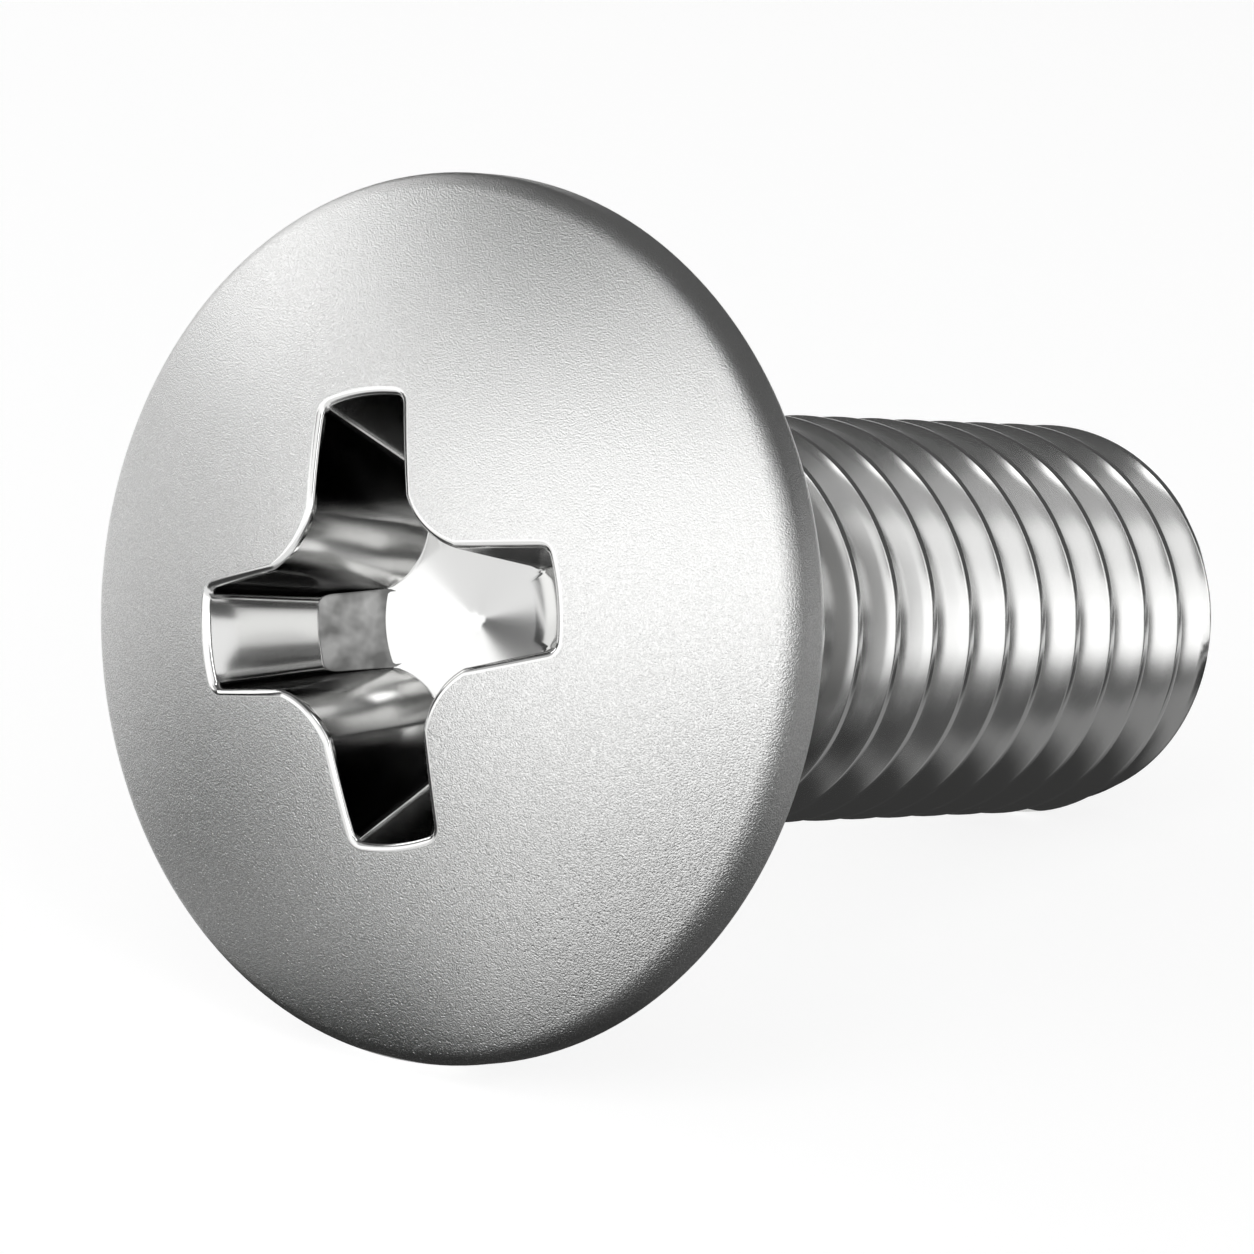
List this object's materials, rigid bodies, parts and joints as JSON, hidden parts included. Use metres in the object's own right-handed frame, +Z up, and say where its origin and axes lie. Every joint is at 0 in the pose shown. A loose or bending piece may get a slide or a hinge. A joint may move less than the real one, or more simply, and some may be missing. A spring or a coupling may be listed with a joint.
{
  "type": "machine screw",
  "caption": "Machine screw with a low domed round head, a cross recess and a fully threaded shank with a chamfered tip, lying as it comes to rest.",
  "frame": {"origin": "on the plane the screw lies on, under the middle of its length, halfway between the front of the dome and the back of the tip", "axes": "+Y from the head towards the tip along the lying screw, +Z up, +X to the right seen from the head; the screw's own axis points 12.55 degrees below +Y"},
  "size_m": [0.0164, 0.0236, 0.0161],
  "materials": {
    "steel": "stainless steel with a fine blasted head, a smooth pressed recess and a rolled satin thread"
  },
  "bodies": {
    "root": {"screw": "steel"}
  },
  "joints": []
}
